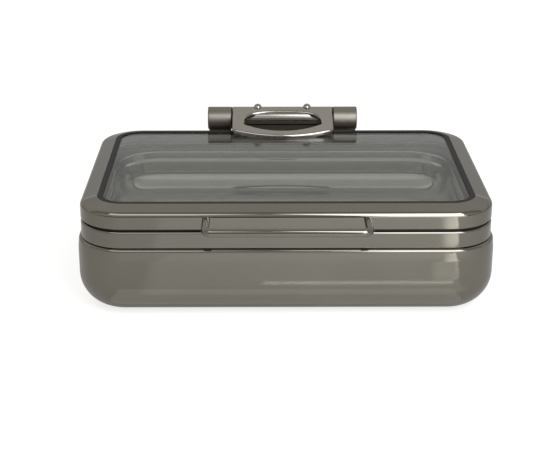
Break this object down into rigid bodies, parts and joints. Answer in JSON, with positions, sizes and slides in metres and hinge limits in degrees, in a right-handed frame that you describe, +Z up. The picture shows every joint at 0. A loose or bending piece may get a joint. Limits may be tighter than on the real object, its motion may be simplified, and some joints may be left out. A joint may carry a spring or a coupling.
{
  "type": "chafing dish",
  "caption": "Rectangular polished steel chafing dish: water pan with an upper band, lift-out food pan, framed glass lid with a bow handle on a damped rear barrel hinge.",
  "frame": {"origin": "middle of the flat underside of the base, on the counter", "axes": "+Z up, the handle side faces -Y, +X to the right of someone who faces the handle"},
  "size_m": [0.572, 0.4595, 0.193],
  "materials": {
    "polished_steel": "mirror-polished stainless steel",
    "pan_steel": "satin-polished stainless steel",
    "satin_steel": "satin steel",
    "hinge_steel": "polished cast steel",
    "core_aluminium": "bare aluminium",
    "black_silicone": "matt black silicone",
    "black_nylon": "black nylon",
    "clear_glass": "clear toughened glass"
  },
  "bodies": {
    "dish": {"water_pan": "polished_steel", "rim_frame": "polished_steel", "base_core": "core_aluminium", "base_cover": "satin_steel", "lid_seal": "black_silicone", "hinge_bracket": "satin_steel", "bracket_screws": "satin_steel", "bracket_nuts": "satin_steel", "knuckle_left": "hinge_steel", "knuckle_right": "hinge_steel", "knuckle_caps": "hinge_steel", "damper_left": "black_nylon", "damper_right": "black_nylon", "thrust_washers": "black_nylon"},
    "food_pan": {"food_pan": "pan_steel"},
    "lid": {"lid_frame": "polished_steel", "glass_panel": "clear_glass", "glass_gasket": "black_silicone", "retainer_front": "pan_steel", "retainer_back": "pan_steel", "retainer_left": "pan_steel", "retainer_right": "pan_steel", "retainer_screws": "satin_steel", "lid_handle": "polished_steel", "handle_screws": "satin_steel", "hinge_plate": "hinge_steel", "hinge_plate_screws": "satin_steel", "lock_screws": "hinge_steel", "hinge_pin": "satin_steel"}
  },
  "joints": [
    {"name": "lid_hinge", "type": "hinge", "parent": "dish", "child": "lid", "pos_m": [0, 0.202, 0.1695], "axis": [-1, 0, 0], "range_deg": [0, 95]},
    {"name": "food_pan_lift", "type": "slide", "parent": "dish", "child": "food_pan", "axis": [0, 0, 1], "range_m": [0, 0.015]}
  ]
}
